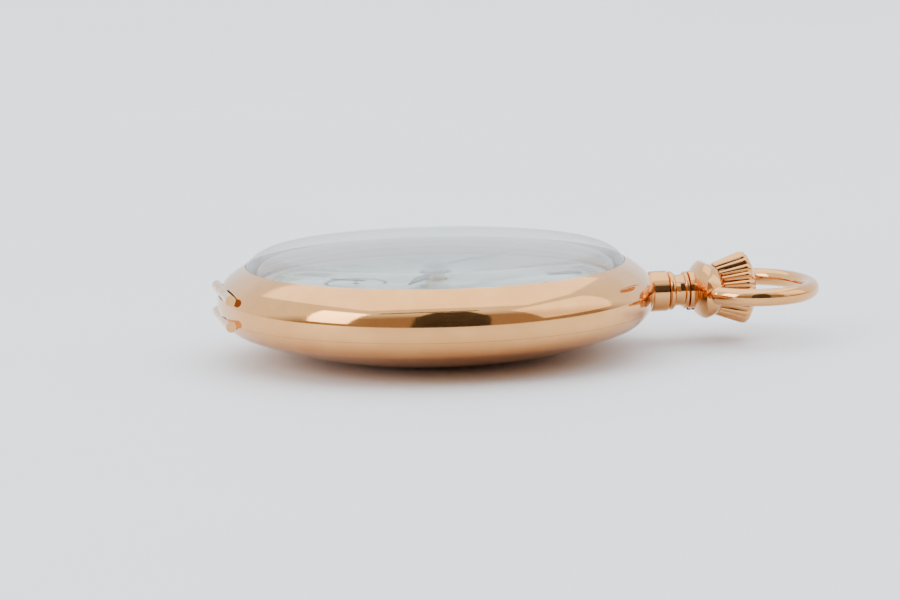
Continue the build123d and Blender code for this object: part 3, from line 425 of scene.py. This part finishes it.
def bezel():
    """The glass's ring"""
    start = on_turn(TOP_TURN, TOP_TURN_R, BEZEL_SEAM)
    rise = math.radians(50)
    end = (TOP_TURN[0] + TOP_TURN_R * math.cos(rise), TOP_TURN[1] + TOP_TURN_R * math.sin(rise))
    chord = Vector(GLASS_RIM) - Vector(end)
    centre = Vector(end) + chord / 2 + Vector((chord.y, -chord.x)).normalized() * -9.3
    points = [start] + arc_points(TOP_TURN, start, end, 18) + arc_points(tuple(centre), end, GLASS_RIM, 10)
    points += [(GLASS_RIM[0], GLASS_SEAT), (21.6, GLASS_SEAT), (21.6, 9.1), (22.25, 9.1), (22.25, BEZEL_SEAM)]
    mesh = to_mesh(lathe(points), "bezel_turned")
    mesh = combine(mesh, thumb_notch(), "DIFFERENCE")
    room = pair(BEZEL_KNUCKLE + KNUCKLE_GAP, HINGE_HALF + 0.1)
    mesh = knuckled(mesh, BEZEL_SEAM, [(-BEZEL_KNUCKLE, BEZEL_KNUCKLE)], room, 1, PIN_R + RUN)
    return new_object("bezel_turned", smooth(mesh), ROSE, "bezel", "case_gold", "bezel")


def dish(offset):
    """Flat edge, start of the edge's curve and its radius, for the back at an inward offset"""
    run, rise = BACK_TURN[0] - BACK_FLAT_R, BACK_TURN[1] - BACK_DOME
    length = math.hypot(run, rise)
    r = BACK_TURN_R - offset
    return (BACK_FLAT_R, offset), (BACK_TURN[0] + run / length * r, BACK_TURN[1] + rise / length * r), r


def back_cover():
    """The outer back"""
    dome, top = (BACK_FLAT_R, BACK_DOME), BACK_SEAM - SEAM_GAP
    flat, turn, r = dish(0)
    in_flat, in_turn, in_r = dish(BACK_WALL)
    edge = on_turn(BACK_TURN, r, top)
    points = [(0, 0), flat] + arc_points(dome, flat, turn, 40) + arc_points(BACK_TURN, turn, edge, 16)
    in_edge = on_turn(BACK_TURN, in_r, top)
    points += [in_edge] + arc_points(BACK_TURN, in_edge, in_turn, 12) + arc_points(dome, in_turn, in_flat, 24)
    points += [(0, BACK_WALL)]
    mesh = to_mesh(lathe(points), "back_cover_turned")
    arm_room = CUVETTE_KNUCKLE + KNUCKLE_GAP
    mesh = combine(mesh, slab(-arm_room, arm_room, -26.5, -24.2, 4.2, BACK_SEAM + 1), "DIFFERENCE")
    cuts = pair(BACK_KNUCKLES[1] + KNUCKLE_GAP, HINGE_HALF + 0.1) + [(-arm_room, arm_room)]
    mesh = knuckled(mesh, BACK_SEAM, pair(*BACK_KNUCKLES), cuts, -1, PIN_R + RUN)
    return new_object("back_cover_turned", smooth(mesh), ROSE, "back", "case_gold", "back_cover")


def crystal():
    """The domed glass"""
    thin = math.hypot(GLASS_SHOULDER[0] - GLASS_TURN[0], GLASS_SHOULDER[1] - GLASS_TURN[1]) - GLASS_THICK
    scale = thin / (thin + GLASS_THICK)
    inner = tuple(t + (s - t) * scale for s, t in zip(GLASS_SHOULDER, GLASS_TURN))
    rim, foot = (GLASS_R, GLASS_RIM[1]), GLASS_SEAT + 0.05
    inner_foot = on_turn(GLASS_TURN, thin, foot)
    top, under = (0, GLASS_TOP), (0, GLASS_TOP - GLASS_THICK)
    points = [top] + bend_points(top, (GLASS_SHOULDER[0] / 2, GLASS_TOP), GLASS_SHOULDER, 30)
    points += arc_points(GLASS_TURN, GLASS_SHOULDER, rim, 24) + [(GLASS_R, foot), inner_foot]
    points += arc_points(GLASS_TURN, inner_foot, inner, 14)
    points += bend_points(inner, (inner[0] / 2, under[1]), under, 20)
    mesh = to_mesh(lathe(points), "crystal_turned")
    glass = MATERIALS["crystal_glass"]
    return new_object("crystal_turned", smooth(mesh), glass, "bezel", "crystal_glass", "crystal")


def crown():
    """The winding crown: rounded ribs with a narrow groove between them, under a domed end"""
    base, top = low("crown", 1), high("crown", 1)
    base_r, rim_r = 3.15, high("crown", 0)
    skirt, rim, shoulder_r = base + 0.05, base + 3.35, rim_r - 0.12
    deep, fading = 0.32, 0.26
    # (r, y, depth of the grooves)
    rings = [(STEM_R, base, 0), (2.4, base, 0), (base_r - 0.05, base, 0.2), (base_r, skirt, 0.3)]
    for k in range(1, 11):
        rings.append((base_r + (rim_r - base_r) * k / 10, skirt + (rim - skirt) * k / 10, deep))
    rings += [(rim_r - 0.02, rim + 0.2, 0.3), (shoulder_r, rim + 0.45, fading)]
    flat = 0.62 * rim_r
    dome = bend_points((shoulder_r, rim + 0.45), (flat, top), (0, top), 14)
    rings += [(r, y, fading * max(0, (r - flat) / (rim_r - flat))) for r, y in dome]
    rings += [(0, base + 3, 0), (STEM_R, base + 3, 0)]
    ribs, steps = 24, 16
    shape = bmesh.new()
    loops = []
    for r, y, groove in rings:
        if r < 1e-6:
            loops.append([shape.verts.new((0, y * MM, STEM_Z * MM))])
            continue
        loop = []
        for k in range(ribs * steps):
            a = 2 * math.pi * k / (ribs * steps)
            reach = r - groove * (1 - abs(math.cos(ribs * a / 2)))
            x, z = reach * math.sin(a), STEM_Z + reach * math.cos(a)
            loop.append(shape.verts.new((x * MM, y * MM, z * MM)))
        loops.append(loop)
    skin(shape, loops)
    mesh = smooth(to_mesh(shape, "crown_ribbed"), 40)
    return new_object("crown_ribbed", mesh, ROSE, "crown", "case_gold", "crown")


# ---- dial markings: generic Roman numerals and tracks ----
def stroke(shape, start, end, width, place):
    """One flat stroke between two points of a marking"""
    a, b = Vector((*start, 0)), Vector((*end, 0))
    side = Vector((-(b - a).y, (b - a).x, 0)).normalized() * width / 2
    corners = []
    for z in (DIAL_TOP, DIAL_TOP + INK_THICK):
        for p in (a - side, b - side, b + side, a + side):
            q = place @ p
            corners.append(shape.verts.new((q.x * MM, q.y * MM, z * MM)))
    under, upper = corners[:4], corners[4:]
    shape.faces.new(under[::-1])
    shape.faces.new(upper)
    for k in range(4):
        n = (k + 1) % 4
        shape.faces.new((under[k], under[n], upper[n], upper[k]))


def printed(name, shape):
    """A marking as a piece on the dial"""
    return new_object(name, to_mesh(shape, name), INK, "case", "dial_enamel")


ROMAN = ["XII", "I", "II", "III", "IIII", "V", "VI", "VII", "VIII", "IX", "X", "XI"]
LEFT_OUT = 6
GLYPH_WIDTH = {"I": 0.62, "V": 1.45, "X": 1.45}


def glyph(shape, letter, x, place):
    """One letter of a numeral, centred on x"""
    margin = 0.12
    half, h = GLYPH_WIDTH[letter] / 2 - margin, NUMERAL_HEIGHT / 2
    if letter == "I":
        stroke(shape, (x, -h), (x, h), THICK - 0.02, place)
    if letter == "V":
        stroke(shape, (x - half, h), (x, -h), THICK, place)
        stroke(shape, (x + half, h), (x, -h), THIN, place)
    if letter == "X":
        stroke(shape, (x - half, h), (x + half, -h), THICK, place)
        stroke(shape, (x + half, h), (x - half, -h), THIN, place)
    for edge in (h, -h):
        stroke(shape, (x - half - margin, edge), (x + half + margin, edge), SERIF, place)


def numerals():
    """The Roman numerals, without the one that the seconds circle takes the place of"""
    shape = bmesh.new()
    for hour, text in enumerate(ROMAN):
        if hour == LEFT_OUT:
            continue
        place = Matrix.Rotation(-math.radians(30 * hour), 4, "Z") @ Matrix.Translation((0, NUMERAL_R, 0))
        x = -sum(GLYPH_WIDTH[letter] for letter in text) / 2
        for letter in text:
            x += GLYPH_WIDTH[letter] / 2
            glyph(shape, letter, x, place)
            x += GLYPH_WIDTH[letter] / 2
    return printed("dial_numerals", shape)


def marks(shape, middle, radii, wide, narrow):
    """Sixty radial marks, every fifth of them wide"""
    for k in range(60):
        place = middle @ Matrix.Rotation(math.radians(6 * k), 4, "Z")
        stroke(shape, (0, radii[0]), (0, radii[1]), narrow if k % 5 else wide, place)


def circle(shape, middle, r, count, width):
    """A fine circle of so many short strokes"""
    reach = r * math.tan(math.radians(180 / count + 0.03))
    for k in range(count):
        place = middle @ Matrix.Rotation(2 * math.pi * k / count, 4, "Z")
        stroke(shape, (-reach, r), (reach, r), width, place)


def minute_track():
    """Minute track: sixty marks between two fine circles"""
    shape = bmesh.new()
    middle = Matrix.Identity(4)
    marks(shape, middle, TRACK, 0.34, 0.15)
    for r in TRACK:
        circle(shape, middle, r, 180, 0.11)
    return printed("dial_minute_track", shape)


def seconds_track():
    """Seconds track round the sunk small dial"""
    shape = bmesh.new()
    middle = Matrix.Translation((0, SECONDS_Y, 0))
    marks(shape, middle, SECONDS_TRACK, 0.18, 0.08)
    circle(shape, middle, SECONDS_TRACK[1], 90, 0.08)
    for vert in shape.verts:
        vert.co.z -= SECONDS_SUNK * MM
    return printed("dial_seconds_track", shape)


# ---- CAD nodes ----
def paint_nodes():
    """Every CAD node gets its slot's material"""
    for entry in frame["record"]["subparts"]:
        mesh = nodes[entry["node"]].data
        mesh.materials.clear()
        mesh.materials.append(MATERIALS[entry["material_slot"]])


# ---- stage ----
TABLE_FRONT, TABLE_BACK, TABLE_HALF = 0.52, -2.2, 1.6


def table_top():
    """The pale table: it ends just behind the camera, and its edge shows in the case's reflections"""
    mat, tree, shader, coords = material("table")
    tree.links.new(two_tone(tree, noise(tree, coords, 8, 3), (0.86, 0.90, 0.95), (0.89, 0.93, 0.98)),
                   shader.inputs["Base Color"])
    shader.inputs["Roughness"].default_value = 0.55
    mesh = bpy.data.meshes.new("table_top")
    corners = [(TABLE_FRONT, -TABLE_HALF, 0), (TABLE_FRONT, TABLE_HALF, 0), (TABLE_BACK, TABLE_HALF, 0),
               (TABLE_BACK, -TABLE_HALF, 0)]
    mesh.from_pydata(corners, [], [(0, 1, 2, 3)])
    mesh.materials.append(mat)
    top = bpy.data.objects.new("table_top", mesh)
    bpy.context.scene.collection.objects.link(top)


def card(name, corners):
    """A dark card that stands before the watch for its reflections"""
    mat, tree, shader, coords = material(name)
    tree.links.new(two_tone(tree, noise(tree, coords, 12, 3), (0.012, 0.011, 0.010), (0.03, 0.027, 0.025)),
                   shader.inputs["Base Color"])
    shader.inputs["Roughness"].default_value = 0.8
    mesh = bpy.data.meshes.new(name)
    mesh.from_pydata(corners, [], [range(len(corners))])
    mesh.materials.append(mat)
    sheet = bpy.data.objects.new(name, mesh)
    bpy.context.scene.collection.objects.link(sheet)


def cards():
    """Where the photographer stands, and a dark card as painted shade for the dim gap between the lights"""
    card("dark_figure", [(0.66, -0.28, -0.05), (0.66, 0.20, -0.05), (0.66, 0.24, 0.45), (0.66, 0.15, 0.90),
                         (0.66, -0.14, 0.90), (0.66, -0.26, 0.50)])
    # painted shade: a dark card hung where the gap between the lights leaves only shade, so the case mirrors
    # a dark band there
    card("painted_shade_gap", [(0.60, -0.62, 0.84), (0.60, 0.22, 0.84), (0.60, 0.22, 0.95), (0.60, -0.62, 0.95)])


def softbox(name, place, aim, size, power, colour=(1, 1, 1)):
    """A rectangular soft light"""
    data = bpy.data.lights.new(name, "AREA")
    data.shape, data.size, data.size_y = "RECTANGLE", size[0], size[1]
    data.energy, data.color = power, colour
    lamp = bpy.data.objects.new(name, data)
    lamp.location = place
    lamp.rotation_euler = (Vector(aim) - Vector(place)).to_track_quat("-Z", "Y").to_euler()
    bpy.context.scene.collection.objects.link(lamp)


def lights():
    """A broad soft light overhead, a window at the left and a weaker one at the right"""
    softbox("overhead", (-0.3, 0.0, 1.1), (0, 0, 0), (1.6, 1.6), 11, (1.0, 0.92, 0.84))
    softbox("window", (0.38, -0.95, 0.5), (0, 0, 0.01), (0.5, 0.75), 7, (1.0, 0.97, 0.92))
    softbox("side", (0.35, 1.0, 0.6), (0, 0, 0.01), (1.1, 0.9), 4, (1.0, 0.96, 0.93))


def world():
    """A pale room: bright overhead and behind the watch, dim behind the camera"""
    scene_world = bpy.data.worlds.new("room")
    bpy.context.scene.world = scene_world
    scene_world.use_nodes = True
    tree = scene_world.node_tree
    coords = tree.nodes.new("ShaderNodeTexCoord").outputs["Generated"]
    slant = tree.nodes.new("ShaderNodeVectorMath")
    slant.operation = "DOT_PRODUCT"
    slant.inputs[1].default_value = (-0.45, 0.0, 0.6)
    tree.links.new(coords, slant.inputs[0])
    ramp = tree.nodes.new("ShaderNodeValToRGB")
    ramp.color_ramp.elements[0].position, ramp.color_ramp.elements[0].color = 0.0, (0.27, 0.22, 0.18, 1)
    ramp.color_ramp.elements[1].position, ramp.color_ramp.elements[1].color = 0.22, (0.82, 0.89, 0.96, 1)
    tree.links.new(slant.outputs["Value"], ramp.inputs["Fac"])
    background = tree.nodes["Background"]
    tree.links.new(ramp.outputs["Color"], background.inputs["Color"])
    background.inputs["Strength"].default_value = 1.95


# ---- camera ----
CAMERA_AZIMUTH, CAMERA_RISE, CAMERA_DISTANCE, CAMERA_ROLL = 80.0, 8.5, 0.45, 1.2
CAMERA_LENS, SHIFT_RIGHT, SHIFT_UP = 151.0, 0.0158, -0.0047


def camera():
    """A long lens low over the table, with the pendant to the right"""
    data = bpy.data.cameras.new("camera")
    data.lens, data.sensor_width = CAMERA_LENS, 36.0
    data.shift_x, data.shift_y = SHIFT_RIGHT, SHIFT_UP
    data.clip_start = 0.01
    turn, rise = math.radians(CAMERA_AZIMUTH), math.radians(CAMERA_RISE)
    away = Vector((math.sin(turn) * math.cos(rise), -math.cos(turn) * math.cos(rise), math.sin(rise)))
    eye = bpy.data.objects.new("camera", data)
    bpy.context.scene.collection.objects.link(eye)
    eye.location = Vector((0, 0, EQUATOR_Z * MM)) + away * CAMERA_DISTANCE
    roll = Matrix.Rotation(math.radians(-CAMERA_ROLL), 4, "Z")
    aim = away.to_track_quat("Z", "Y").to_matrix().to_4x4()
    eye.matrix_world = Matrix.Translation(eye.location) @ aim @ roll
    bpy.context.scene.camera = eye


paint_nodes()
mid_case()
bezel()
back_cover()
crystal()
crown()
numerals()
minute_track()
seconds_track()
table_top()
cards()
lights()
world()
camera()
